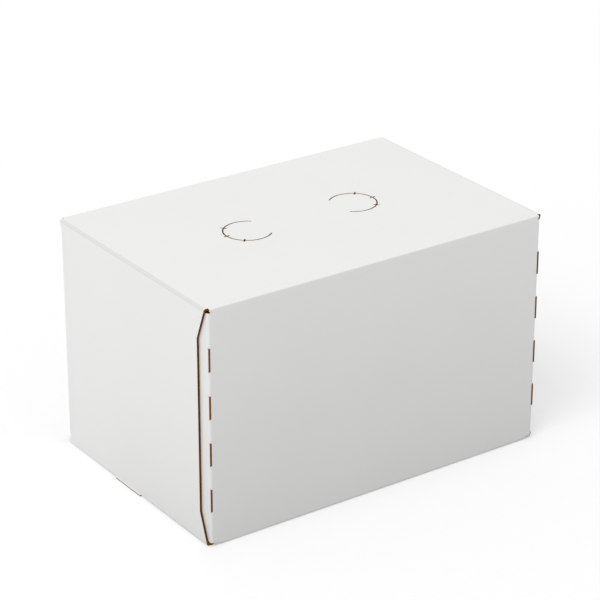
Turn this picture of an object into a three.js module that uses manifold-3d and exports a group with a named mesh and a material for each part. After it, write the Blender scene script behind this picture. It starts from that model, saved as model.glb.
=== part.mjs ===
// Carton for six upright drink cans, folded from one blank of white-lined board.
// Millimetres, +Z up, +X along the carton. The origin is on the ground under the carton's middle.
// Each panel or flap between two score lines is a piece of its own. Panels of one fold meet in a mitre,
// and a panel that swings does so about the outer corner line of its fold.

import * as THREE from 'three';
import { mergeVertices } from 'three/addons/utils/BufferGeometryUtils.js';
import Module from 'manifold-3d';

const wasm = await Module();
wasm.setup();

// What the carton holds
const CAN_DIAMETER = 66.2;
const CAN_HEIGHT = 122.2;
const CANS_ALONG = 3;
const CANS_ACROSS = 2;
const PLAY_ALONG = 1.2;
const PLAY_ACROSS = 2;
const PLAY_ABOVE = 1.6;

// Board and folds
const BOARD = 1.1;
const FIT_GAP = 0.3;
const FOLD_RADIUS = 1.4;

// Finger cuts in the top
const FINGER_RADIUS = 12.7;
const FINGER_HINGE_INSET = 8.4;
const FINGER_KERF = 0.4;
const NICK_LENGTH = 3;
const NICK_WIDTH = 0.5;
const NICK_SPREAD = THREE.MathUtils.degToRad(55);

// End panels and the flaps that fold beneath the bottom
const END_SIDE_INSET = 1.5;
const WAIST_INSET = 7.7;
const SHOULDER_DROP = 17.2;
const SKIRT_RISE = 15.6;
const UNDER_DEPTH = 24;
const UNDER_SIDE_TAPER = 10;
const UNDER_CORNER_RADIUS = 5;

// Tongues on the bottom panel, through a notch at the foot of each end panel
const TONGUE_WIDTH = 23.2;
const TONGUE_CENTRE_Y = 6.8;
const TONGUE_REACH = 0.4;
const TONGUE_CHAMFER = 0.7;

// Dust flaps and the slits in their folds
const DUST_REACH = 52;
const DUST_TOP_GAP = 1.7;
const DUST_TOP_SLOPE = 0.55;
const DUST_FOOT_SLOPE = 0.06;
const DUST_CORNER_RADIUS = 6;
const SLIT_COUNT = 4;
const SLIT_LENGTH = 12.3;
const SLIT_PITCH = 25.1;
const SLIT_RISE = 18.6;
const SLIT_DEPTH = 0.8;

// Glued seam along the back of the bottom
const GLUE_FLAP_DEPTH = 20;
const GLUE_FLAP_TAPER = 6;
const GLUE_FLAP_END_GAP = 2;
const BOTTOM_REAR_INSET = 0.8;
const GLUE_LINE_WIDTH = 10;
const GLUE_LINE_CLEARANCE = 0.05;

// Outer face of each layer, as a distance from the middle or a height above the ground
const INNER_LENGTH = CANS_ALONG * CAN_DIAMETER + PLAY_ALONG;
const INNER_WIDTH = CANS_ACROSS * CAN_DIAMETER + PLAY_ACROSS;
const INNER_HEIGHT = CAN_HEIGHT + PLAY_ABOVE;
const LAYER = BOARD + FIT_GAP;
const DUST_PLANE = INNER_LENGTH / 2 + BOARD;
const END_PLANE = DUST_PLANE + LAYER;
const SIDE_PLANE = INNER_WIDTH / 2 + BOARD;
const BOTTOM_PLANE = LAYER;
const SEAM_PLANE = BOTTOM_PLANE + LAYER;
const TOP_PLANE = BOTTOM_PLANE + BOARD + INNER_HEIGHT + BOARD;

// Where four cans meet, so that a finger can reach down between them
const FINGER_CENTRE_X = INNER_LENGTH / CANS_ALONG / 2;

const CURVE_SEGMENTS = 12;
const CUT_MARGIN = 2;
const QUARTER_TURN = Math.PI / 2;
const WHITE_BOARD = { color: '#e8e7e3', roughness: 0.55, metalness: 0 };
const CLEAR_GLUE = { color: '#cdb98f', roughness: 0.35, metalness: 0 };

// Closed solids, joined and cut

function solidFrom(geometry) {
  const bare = geometry.clone();
  bare.deleteAttribute('normal');
  bare.deleteAttribute('uv');
  const merged = mergeVertices(bare, 1e-4);
  const vertProperties = new Float32Array(merged.attributes.position.array);
  const triVerts = new Uint32Array(merged.index.array);
  return new wasm.Manifold(new wasm.Mesh({ numProp: 3, vertProperties, triVerts }));
}

function geometryFrom(solid) {
  const { vertProperties, triVerts } = solid.getMesh();
  const geometry = new THREE.BufferGeometry();
  geometry.setAttribute('position', new THREE.BufferAttribute(vertProperties, 3));
  geometry.setIndex(new THREE.BufferAttribute(triVerts, 1));
  geometry.computeVertexNormals();
  return geometry;
}

// A plate of board with its outer face at z = 0 and its inner face below it

function plate(shape, thickness = BOARD) {
  const settings = { depth: thickness, bevelEnabled: false, curveSegments: CURVE_SEGMENTS };
  return solidFrom(new THREE.ExtrudeGeometry(shape, settings).translate(0, 0, -thickness));
}

// A closed outline through corners given as [x, y, radius], each radius made by a tangent arc

function outline(corners) {
  const shape = new THREE.Shape();
  corners.forEach(([x, y, radius = 0], index) => {
    const [beforeX, beforeY] = corners.at(index - 1);
    const [afterX, afterY] = corners[(index + 1) % corners.length];
    const toBefore = new THREE.Vector2(beforeX - x, beforeY - y).normalize();
    const toAfter = new THREE.Vector2(afterX - x, afterY - y).normalize();
    const halfAngle = toBefore.angleTo(toAfter) / 2;
    const setback = radius / Math.tan(halfAngle);
    const start = toBefore.clone().multiplyScalar(setback);
    if (index === 0) {
      shape.moveTo(x + start.x, y + start.y);
    } else {
      shape.lineTo(x + start.x, y + start.y);
    }
    if (radius > 0) {
      const end = toAfter.clone().multiplyScalar(setback);
      const centre = toBefore.clone().add(toAfter).setLength(radius / Math.sin(halfAngle));
      const startAngle = start.sub(centre).angle();
      const endAngle = end.sub(centre).angle();
      const clockwise = toBefore.cross(toAfter) > 0;
      shape.absarc(x + centre.x, y + centre.y, radius, startAngle, endAngle, clockwise);
    }
  });
  shape.closePath();
  return shape;
}

function rectangle(left, right, low, high) {
  return outline([[left, low], [right, low], [right, high], [left, high]]);
}

// What a fold takes off a plate's edge: the mitre with its gap, and the round of the outer corner.
// The plate lies to the left of the line from one end of the fold to the other.

function foldTrim([fromX, fromY], [toX, toY]) {
  const mitreShift = FIT_GAP * Math.SQRT1_2;
  const mitreAngle = 0.75 * Math.PI - Math.asin(mitreShift / (Math.SQRT2 * FOLD_RADIUS));
  const depth = BOARD + CUT_MARGIN;
  const shape = new THREE.Shape();
  shape.moveTo(-CUT_MARGIN, CUT_MARGIN);
  shape.lineTo(FOLD_RADIUS, CUT_MARGIN);
  shape.absarc(FOLD_RADIUS, -FOLD_RADIUS, FOLD_RADIUS, QUARTER_TURN, mitreAngle, false);
  shape.lineTo(mitreShift + depth, -depth);
  shape.lineTo(-CUT_MARGIN, -depth);
  shape.closePath();
  const along = new THREE.Vector3(toX - fromX, toY - fromY, 0);
  const length = along.length();
  along.normalize();
  const inward = new THREE.Vector3(-along.y, along.x, 0);
  const outward = new THREE.Vector3(0, 0, 1);
  const settings = { depth: length + 2 * CUT_MARGIN, bevelEnabled: false, curveSegments: 6 };
  const place = new THREE.Matrix4().makeBasis(inward, outward, along);
  place.setPosition(fromX - along.x * CUT_MARGIN, fromY - along.y * CUT_MARGIN, 0);
  return solidFrom(new THREE.ExtrudeGeometry(shape, settings).applyMatrix4(place));
}

// A box that cuts right through a plate

function throughCut(centreX, centreY, width, height, turn = 0) {
  const box = new THREE.BoxGeometry(width, height, BOARD + 2 * CUT_MARGIN);
  return solidFrom(box.rotateZ(turn).translate(centreX, centreY, -BOARD / 2));
}

function panel(shape, folds, cuts = []) {
  const trims = folds.map(([from, to]) => foldTrim(from, to));
  const solid = [...trims, ...cuts].reduce((rest, cut) => rest.subtract(cut), plate(shape));
  return geometryFrom(solid);
}

function piece(name, geometry, finish = WHITE_BOARD) {
  const mesh = new THREE.Mesh(geometry, new THREE.MeshStandardMaterial(finish));
  mesh.name = name;
  return mesh;
}

// Groups in which a wall faces -Y and a layer of the bottom faces down, then turned to its side

const FRONT = 0;
const BACK = Math.PI;
const LEFT = -QUARTER_TURN;
const RIGHT = QUARTER_TURN;

function standing(mesh, side, plane) {
  mesh.rotation.x = QUARTER_TURN;
  mesh.position.y -= plane;
  return turned(mesh, side);
}

function turned(mesh, side) {
  const group = new THREE.Group();
  group.rotation.z = side;
  group.add(mesh);
  return group;
}

function lying(mesh, height) {
  mesh.rotation.x = Math.PI;
  mesh.position.z = height;
  return mesh;
}

// Finger cuts: a round cut left open on the side towards the carton's middle, where the tab folds.
// Shapes here are for the right tab. The left one is the same, turned half round.

function fingerOutline(radius, hingeX) {
  const openAngle = Math.PI - Math.acos(-hingeX / radius);
  const shape = new THREE.Shape();
  shape.absarc(0, 0, radius, -openAngle, openAngle, false);
  shape.closePath();
  return shape;
}

function nickCuts() {
  return [-NICK_SPREAD, 0, NICK_SPREAD].map((angle) => {
    const x = FINGER_RADIUS * Math.cos(angle);
    const y = FINGER_RADIUS * Math.sin(angle);
    return throughCut(x, y, NICK_LENGTH, NICK_WIDTH, angle);
  });
}

function fingerTab() {
  const shape = fingerOutline(FINGER_RADIUS - FINGER_KERF / 2, FIT_GAP / 2 - FINGER_HINGE_INSET);
  return panel(shape, [], nickCuts());
}

function fingerOpening() {
  const shape = fingerOutline(FINGER_RADIUS + FINGER_KERF / 2, -FIT_GAP / 2 - FINGER_HINGE_INSET);
  const thickness = BOARD + 2 * CUT_MARGIN;
  const hole = plate(shape, thickness).translate([0, 0, CUT_MARGIN]);
  return nickCuts().reduce((all, nick) => all.add(nick), hole);
}

// Panels of the glued sleeve

function topPanel() {
  const foldY = SIDE_PLANE - END_SIDE_INSET;
  const shape = outline([
    [-DUST_PLANE, -SIDE_PLANE], [DUST_PLANE, -SIDE_PLANE], [DUST_PLANE, -foldY], [END_PLANE, -foldY],
    [END_PLANE, foldY], [DUST_PLANE, foldY], [DUST_PLANE, SIDE_PLANE], [-DUST_PLANE, SIDE_PLANE],
    [-DUST_PLANE, foldY], [-END_PLANE, foldY], [-END_PLANE, -foldY], [-DUST_PLANE, -foldY],
  ]);
  const folds = [
    [[-DUST_PLANE, -SIDE_PLANE], [DUST_PLANE, -SIDE_PLANE]],
    [[END_PLANE, -foldY], [END_PLANE, foldY]],
    [[DUST_PLANE, SIDE_PLANE], [-DUST_PLANE, SIDE_PLANE]],
    [[-END_PLANE, foldY], [-END_PLANE, -foldY]],
  ];
  const right = fingerOpening().translate([FINGER_CENTRE_X, 0, 0]);
  const left = fingerOpening().rotate([0, 0, 180]).translate([-FINGER_CENTRE_X, 0, 0]);
  return panel(shape, folds, [right, left]);
}

// Slits along an upright fold, each one cutting the same way into both panels of the fold

function slitCuts(foldX) {
  return Array.from({ length: SLIT_COUNT }, (_, index) => {
    const low = BOTTOM_PLANE + SLIT_RISE + index * SLIT_PITCH;
    return throughCut(foldX, low + SLIT_LENGTH / 2, 2 * SLIT_DEPTH, SLIT_LENGTH);
  });
}

function wallPanel(foot) {
  const shape = rectangle(-DUST_PLANE, DUST_PLANE, foot, TOP_PLANE);
  const folds = [
    [[-DUST_PLANE, foot], [DUST_PLANE, foot]],
    [[DUST_PLANE, foot], [DUST_PLANE, TOP_PLANE]],
    [[DUST_PLANE, TOP_PLANE], [-DUST_PLANE, TOP_PLANE]],
    [[-DUST_PLANE, TOP_PLANE], [-DUST_PLANE, foot]],
  ];
  return panel(shape, folds, [...slitCuts(-DUST_PLANE), ...slitCuts(DUST_PLANE)]);
}

// The bottom is drawn as seen from below with the front at the top, so its y runs against the carton's

function bottomPanel() {
  const rear = BOTTOM_REAR_INSET - SIDE_PLANE;
  const end = DUST_PLANE;
  const tip = END_PLANE + TONGUE_REACH;
  const low = -TONGUE_CENTRE_Y - TONGUE_WIDTH / 2;
  const high = -TONGUE_CENTRE_Y + TONGUE_WIDTH / 2;
  const shape = outline([
    [-end, rear], [end, rear],
    [end, low], [tip - TONGUE_CHAMFER, low], [tip, low + TONGUE_CHAMFER],
    [tip, high - TONGUE_CHAMFER], [tip - TONGUE_CHAMFER, high], [end, high],
    [end, SIDE_PLANE], [-end, SIDE_PLANE],
    [-end, high], [TONGUE_CHAMFER - tip, high], [-tip, high - TONGUE_CHAMFER],
    [-tip, low + TONGUE_CHAMFER], [TONGUE_CHAMFER - tip, low], [-end, low],
  ]);
  return panel(shape, [[[end, SIDE_PLANE], [-end, SIDE_PLANE]]]);
}

function glueFlap() {
  const half = INNER_LENGTH / 2 - GLUE_FLAP_END_GAP;
  const shape = outline([
    [-half, -SIDE_PLANE], [half, -SIDE_PLANE],
    [half - GLUE_FLAP_TAPER, GLUE_FLAP_DEPTH - SIDE_PLANE],
    [GLUE_FLAP_TAPER - half, GLUE_FLAP_DEPTH - SIDE_PLANE],
  ]);
  return panel(shape, [[[-half, -SIDE_PLANE], [half, -SIDE_PLANE]]]);
}

function glueLine() {
  const half = INNER_LENGTH / 2 - GLUE_FLAP_END_GAP - GLUE_FLAP_TAPER;
  const middle = GLUE_FLAP_DEPTH / 2 - SIDE_PLANE;
  const shape = rectangle(-half, half, middle - GLUE_LINE_WIDTH / 2, middle + GLUE_LINE_WIDTH / 2);
  return geometryFrom(plate(shape, FIT_GAP - 2 * GLUE_LINE_CLEARANCE));
}

// Ends. In an end's own view the left end has the carton's front on its right, and the right end on its left

function endPanel(frontSign) {
  const foldX = SIDE_PLANE - END_SIDE_INSET;
  const waistX = SIDE_PLANE - WAIST_INSET;
  const shoulder = TOP_PLANE - SHOULDER_DROP;
  const shape = outline([
    [-foldX, 0], [foldX, 0], [waistX, SKIRT_RISE], [waistX, shoulder], [foldX, TOP_PLANE - FOLD_RADIUS],
    [foldX, TOP_PLANE], [-foldX, TOP_PLANE], [-foldX, TOP_PLANE - FOLD_RADIUS],
    [-waistX, shoulder], [-waistX, SKIRT_RISE],
  ]);
  const folds = [
    [[-foldX, 0], [foldX, 0]],
    [[foldX, TOP_PLANE], [-foldX, TOP_PLANE]],
  ];
  const notchTop = BOTTOM_PLANE + LAYER;
  const notch = throughCut(-frontSign * TONGUE_CENTRE_Y, 0, TONGUE_WIDTH + 2 * FIT_GAP, 2 * notchTop);
  return panel(shape, folds, [notch]);
}

function underFlap() {
  const foldX = SIDE_PLANE - END_SIDE_INSET;
  const freeX = foldX - UNDER_SIDE_TAPER;
  const shape = outline([
    [foldX, 0], [-foldX, 0],
    [-freeX, -UNDER_DEPTH, UNDER_CORNER_RADIUS], [freeX, -UNDER_DEPTH, UNDER_CORNER_RADIUS],
  ]);
  return panel(shape, [[[foldX, 0], [-foldX, 0]]]);
}

// A dust flap runs from its fold at x = 0 to the side given by reachSign

function dustFlap(reachSign) {
  const head = TOP_PLANE - BOARD - DUST_TOP_GAP;
  const foot = SEAM_PLANE;
  const reach = reachSign * DUST_REACH;
  const shape = outline([
    [0, foot], [reach, foot + DUST_FOOT_SLOPE * DUST_REACH, DUST_CORNER_RADIUS],
    [reach, head - DUST_TOP_SLOPE * DUST_REACH, DUST_CORNER_RADIUS], [0, head],
  ]);
  const fold = reachSign > 0 ? [[0, head], [0, foot]] : [[0, foot], [0, head]];
  return panel(shape, [fold], slitCuts(0));
}

// The carton, put together

const carton = new THREE.Group();

const top = piece('top_panel', topPanel());
top.position.z = TOP_PLANE;
carton.add(top);
carton.add(standing(piece('front_panel', wallPanel(BOTTOM_PLANE)), FRONT, SIDE_PLANE));
carton.add(standing(piece('back_panel', wallPanel(SEAM_PLANE)), BACK, SIDE_PLANE));
carton.add(lying(piece('bottom_panel', bottomPanel()), BOTTOM_PLANE));
carton.add(lying(piece('glue_flap', glueFlap()), SEAM_PLANE));
carton.add(lying(piece('glue_line', glueLine(), CLEAR_GLUE), SEAM_PLANE - FIT_GAP + GLUE_LINE_CLEARANCE));

for (const [name, side, frontSign] of [['left', LEFT, 1], ['right', RIGHT, -1]]) {
  carton.add(standing(piece(`${name}_end_panel`, endPanel(frontSign)), side, END_PLANE));
  const under = lying(piece(`${name}_under_flap`, underFlap()), 0);
  under.position.y = -END_PLANE;
  carton.add(turned(under, side));
  for (const [wall, wallSign] of [['front', frontSign], ['back', -frontSign]]) {
    const dust = piece(`${name}_${wall}_dust_flap`, dustFlap(-wallSign));
    dust.position.x = wallSign * SIDE_PLANE;
    carton.add(standing(dust, side, DUST_PLANE));
  }
  const tab = piece(`${name}_finger_tab`, fingerTab());
  tab.position.set(-frontSign * FINGER_CENTRE_X, 0, TOP_PLANE);
  tab.rotation.z = name === 'left' ? Math.PI : 0;
  carton.add(tab);
}

export default carton;
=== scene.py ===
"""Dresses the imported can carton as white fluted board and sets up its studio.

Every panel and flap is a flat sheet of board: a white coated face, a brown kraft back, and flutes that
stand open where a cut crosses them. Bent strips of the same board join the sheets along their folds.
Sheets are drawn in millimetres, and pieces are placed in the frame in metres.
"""

from __future__ import annotations

import logging
import math
from collections.abc import Callable, Iterable, Sequence
from dataclasses import dataclass, field
from enum import Enum
from itertools import accumulate, pairwise, product

import bmesh
import bpy
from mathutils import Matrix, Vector
from mathutils.geometry import delaunay_2d_cdt

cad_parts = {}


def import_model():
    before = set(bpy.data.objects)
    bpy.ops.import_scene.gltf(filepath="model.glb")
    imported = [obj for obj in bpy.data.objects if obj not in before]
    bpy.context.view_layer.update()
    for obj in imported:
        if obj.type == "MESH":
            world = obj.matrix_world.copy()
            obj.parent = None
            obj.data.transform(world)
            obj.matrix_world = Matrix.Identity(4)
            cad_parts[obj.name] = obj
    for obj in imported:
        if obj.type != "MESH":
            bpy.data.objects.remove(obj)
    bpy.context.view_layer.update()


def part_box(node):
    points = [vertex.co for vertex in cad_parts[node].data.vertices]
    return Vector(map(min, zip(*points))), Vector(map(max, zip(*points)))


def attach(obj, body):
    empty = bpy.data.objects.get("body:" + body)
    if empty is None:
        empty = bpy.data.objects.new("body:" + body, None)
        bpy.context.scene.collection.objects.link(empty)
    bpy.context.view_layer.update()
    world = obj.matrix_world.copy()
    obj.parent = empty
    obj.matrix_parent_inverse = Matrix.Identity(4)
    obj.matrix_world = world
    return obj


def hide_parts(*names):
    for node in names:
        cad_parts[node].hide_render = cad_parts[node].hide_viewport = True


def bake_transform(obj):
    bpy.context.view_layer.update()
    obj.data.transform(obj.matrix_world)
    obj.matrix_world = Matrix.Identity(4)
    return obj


LOG = logging.getLogger("carton")
MM = 0.001
TOLERANCE = 1e-4
SMOOTH_LIMIT = math.radians(30)
# Blender's number for filling an outline and leaving its holes open.
INSIDE_WITH_HOLES = 2
# Cosine of 45 degrees: a cut that crosses the flutes more squarely than that shows them.
DIAGONAL = math.sqrt(0.5)
# Places of the colour sockets on Blender's mix node.
MIX_FIRST, MIX_SECOND, MIX_COLOUR = 6, 7, 2
WHITE = "#FFFFFF"

X_AXIS = Vector((1, 0, 0))
Y_AXIS = Vector((0, 1, 0))
Z_AXIS = Vector((0, 0, 1))

Point = tuple[float, float]
Span = tuple[float, float]
Corner = tuple[float, float, float]
Line = tuple[Point, Point]
Loop = list[Point]
Bend = tuple[Vector, Vector]
Grid = list[list[Vector]]
Material = bpy.types.Material
Piece = bpy.types.Object
Socket = bpy.types.NodeSocket
Tree = bpy.types.NodeTree


class Slot(Enum):
    """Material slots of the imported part."""

    BOARD = "white_board"
    GLUE = "seam_glue"


class Finish(Enum):
    """Materials of a board mesh, in order."""

    COAT = 0
    LINER = 1
    CUT = 2
    MEDIUM = 3


class Edge(Enum):
    """How one edge of a sheet ends."""

    FOLD = "goes on into a fold"
    CLOSED = "is cut along the flutes"
    OPEN = "is cut across the flutes, which then show"


class Flutes(Enum):
    """Which way the flutes run in a sheet's own plane."""

    ALONG_U = (1.0, 0.0)
    ALONG_V = (0.0, 1.0)


class Crease(Enum):
    """How tightly a fold is bent, by its outer radius in millimetres."""

    PRESSED = 0.35
    TIGHT = 0.7
    ROUND = 1.4


class Named(Enum):
    """An option whose name is part of other names."""

    @property
    def label(self) -> str:
        """The option's name in small letters."""
        return self.name.lower()


class Axis(Named):
    """An axis of the frame, by its place in a vector."""

    X = 0
    Y = 1
    Z = 2


class Side(Named):
    """An end of the carton, with the sign of its X."""

    LEFT = -1
    RIGHT = 1


class Wall(Named):
    """A long wall of the carton, with the sign of its Y."""

    FRONT = -1
    BACK = 1


# Drawing in the flat


def edges_of(loop: Sequence) -> list[tuple]:
    """Returns the edges of a closed outline, each as its two ends."""
    return list(pairwise([*loop, loop[0]]))


def counter_clockwise(loop: Loop) -> Loop:
    """Returns a loop turned so that its inside lies to the left of its edges."""
    doubled_area = sum(a[0] * b[1] - b[0] * a[1] for a, b in edges_of(loop))
    return list(loop) if doubled_area > 0 else list(reversed(loop))


def rotated(arrow: Vector, angle: float) -> Vector:
    """Returns a flat vector turned counter-clockwise by an angle in radians."""
    c, s = math.cos(angle), math.sin(angle)
    return Vector((arrow.x * c - arrow.y * s, arrow.x * s + arrow.y * c))


def rounded(corners: Sequence[Corner], steps: int = 8) -> Loop:
    """Draws a closed outline with rounded corners.

    Args:
        corners: Corners as (u, v, radius).
        steps: Straight steps in each round.

    Returns:
        The outline's points.
    """
    loop: Loop = []
    for index, (u, v, radius) in enumerate(corners):
        corner = Vector((u, v))
        before = (Vector(corners[index - 1][:2]) - corner).normalized()
        after = (Vector(corners[(index + 1) % len(corners)][:2]) - corner).normalized()
        if radius == 0:
            loop.append((u, v))
            continue
        half = before.angle(after) / 2
        centre = corner + (before + after).normalized() * (radius / math.sin(half))
        start = corner + before * (radius / math.tan(half)) - centre
        turn = start.angle_signed(corner + after * (radius / math.tan(half)) - centre)
        for step in range(steps + 1):
            spoke = centre + rotated(start, -turn * step / steps)
            loop.append((spoke.x, spoke.y))
    return loop


def toothed(u: float, tooth_u: float, spans: Sequence[Span]) -> Loop:
    """Draws the teeth of an upright edge, from its lowest to its highest.

    Args:
        u: Where the edge stands.
        tooth_u: Where its teeth end.
        spans: Lowest and highest point of each tooth.

    Returns:
        The corners of all the teeth.
    """
    teeth = (((u, low), (tooth_u, low), (tooth_u, high), (u, high)) for low, high in spans)
    return [corner for tooth in teeth for corner in tooth]


def mirrored(half: Loop) -> Loop:
    """Closes the right half of an outline, drawn upwards, with its mirror image."""
    return half + [(-u, v) for u, v in reversed(half)]


def upright(u: float) -> Line:
    """Returns an upright fold line."""
    return (u, -1.0), (u, 1.0)


def level(v: float) -> Line:
    """Returns a level fold line."""
    return (-1.0, v), (1.0, v)


# Board and its meshes


@dataclass(frozen=True)
class FlutedBoard:
    """Micro-flute board: two liners and a wavy medium. Sizes are in millimetres."""

    thickness: float
    liner: float = 0.2
    medium: float = 0.14
    flute_pitch: float = 2.4
    steps_per_flute: int = 8
    mouth_depth: float = 2.2
    mouth_setback: float = 1.2
    shortest_mouth: float = 4.8
    medium_recess: float = 0.12
    crushed_lip: float = 0.18
    fold_reach: float = 1.4

    @property
    def rows(self) -> tuple[float, float, float, float]:
        """Depths below the outer face at which a cut edge changes from liner to core and back."""
        return (0.0, self.liner, self.thickness - self.liner, self.thickness)

    @property
    def wave_height(self) -> float:
        """Half the height of the medium's wave between the liners."""
        return self.thickness / 2 - self.liner - self.medium / 2


@dataclass(frozen=True)
class Seat:
    """The plane of a sheet's outer face: an origin in millimetres, and the sheet's right and up."""

    origin: Vector
    right: Vector
    up: Vector

    @classmethod
    def flat(cls, height: float, faces_up: bool) -> Seat:
        """Returns the seat of a level sheet whose coated face looks up or down."""
        return cls(Z_AXIS * height, X_AXIS, Y_AXIS if faces_up else -Y_AXIS)

    def point(self, u: float, v: float, depth: float = 0.0) -> Vector:
        """Places a point, given to the right, up and below the outer face, in metres."""
        inward = self.up.cross(self.right)
        return (self.origin + self.right * u + self.up * v + inward * depth) * MM


def add_object(name: str, data: bpy.types.ID) -> Piece:
    """Adds a mesh, lamp or camera to the scene and returns its object."""
    bpy.context.scene.collection.objects.link(thing := bpy.data.objects.new(name, data))
    return thing


@dataclass
class MeshDraft:
    """Points and faces of a piece while it is drawn."""

    points: list[Vector] = field(default_factory=list)
    faces: list[tuple[int, ...]] = field(default_factory=list)
    finishes: list[Finish] = field(default_factory=list)

    def add_point(self, point: Vector) -> int:
        """Adds a point and returns its index."""
        self.points.append(point)
        return len(self.points) - 1

    def add_face(self, corners: Iterable[int], finish: Finish) -> None:
        """Adds a face in the given finish."""
        self.faces.append(tuple(corners))
        self.finishes.append(finish)

    def add_band(self, first: Sequence[int], second: Sequence[int], finishes: Sequence[Finish]) -> None:
        """Joins two rows of points by quads, each in its finish."""
        for k, finish in enumerate(finishes):
            self.add_face((first[k], first[k + 1], second[k + 1], second[k]), finish)

    @classmethod
    def shell(cls, outer: Grid, inner: Grid, keep: Callable[[int], bool] = lambda column: True) -> MeshDraft:
        """Draws a grid of board with its rims.

        Args:
            outer: Rows of points of the outer face.
            inner: The same rows on the inner face.
            keep: Says of a column of cells whether board is left there.

        Returns:
            The draft.
        """
        draft = cls()
        rows, columns = len(outer) - 1, len(outer[0]) - 1
        top, low = ([[draft.add_point(point) for point in row] for row in face] for face in (outer, inner))

        def kept(row: int, column: int) -> bool:
            """Says whether a cell lies in the grid and is left in."""
            return 0 <= row < rows and 0 <= column < columns and keep(column)

        for row, column in product(range(rows), range(columns)):
            if not kept(row, column):
                continue
            ring = ((row, column), (row + 1, column), (row + 1, column + 1), (row, column + 1))
            beyond = ((row, column - 1), (row + 1, column), (row, column + 1), (row - 1, column))
            draft.add_face((top[r][c] for r, c in ring), Finish.COAT)
            draft.add_face((low[r][c] for r, c in reversed(ring)), Finish.LINER)
            for ((r, c), (s, d)), cell in zip(edges_of(ring), beyond):
                if not kept(*cell):
                    draft.add_face((top[r][c], low[r][c], low[s][d], top[s][d]), Finish.CUT)
        return draft

    def to_object(self, name: str, materials: Sequence[Material]) -> Piece:
        """Makes a scene object of the draft.

        Args:
            name: Name of the piece.
            materials: One material for each finish, in order.

        Returns:
            The new object.
        """
        mesh = bpy.data.meshes.new(name)
        mesh.from_pydata(self.points, [], self.faces)
        for material in materials:
            mesh.materials.append(material)
        mesh.polygons.foreach_set("material_index", [finish.value for finish in self.finishes])
        shaped = bmesh.new()
        shaped.from_mesh(mesh)
        loose = [vertex for vertex in shaped.verts if not vertex.link_faces]
        bmesh.ops.delete(shaped, geom=loose, context="VERTS")
        bmesh.ops.recalc_face_normals(shaped, faces=shaped.faces)
        shaped.to_mesh(mesh)
        shaped.free()
        mesh.shade_smooth()
        mesh.set_sharp_from_angle(angle=SMOOTH_LIMIT)
        return add_object(name, mesh)


@dataclass
class CutLoop:
    """An outline or hole with the board on its left, and how the edge that starts at each point ends."""

    crushed: bool
    points: Loop = field(default_factory=list)
    edges: list[Edge] = field(default_factory=list)

    def add(self, point: Point, edge: Edge) -> None:
        """Adds a point and the edge that starts there."""
        self.points.append(point)
        self.edges.append(edge)

    def inward(self, *kinds: Edge) -> dict[int, Vector]:
        """Finds the way into the board at each point of certain edges.

        Args:
            kinds: The kinds of edge to look at.

        Returns:
            For each point at such an edge, the mitred step that lies one unit deep.
        """
        count = len(self.points)
        arrows = {}
        for i in range(count):
            normals = []
            for k in (i - 1, i):
                if self.edges[k] in kinds:
                    way = (Vector(self.points[(k + 1) % count]) - Vector(self.points[k])).normalized()
                    normals.append(Vector((-way.y, way.x)))
            if normals:
                total = sum(normals, Vector((0, 0)))
                arrows[i] = total * (len(normals) / total.length_squared)
        return arrows


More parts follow.
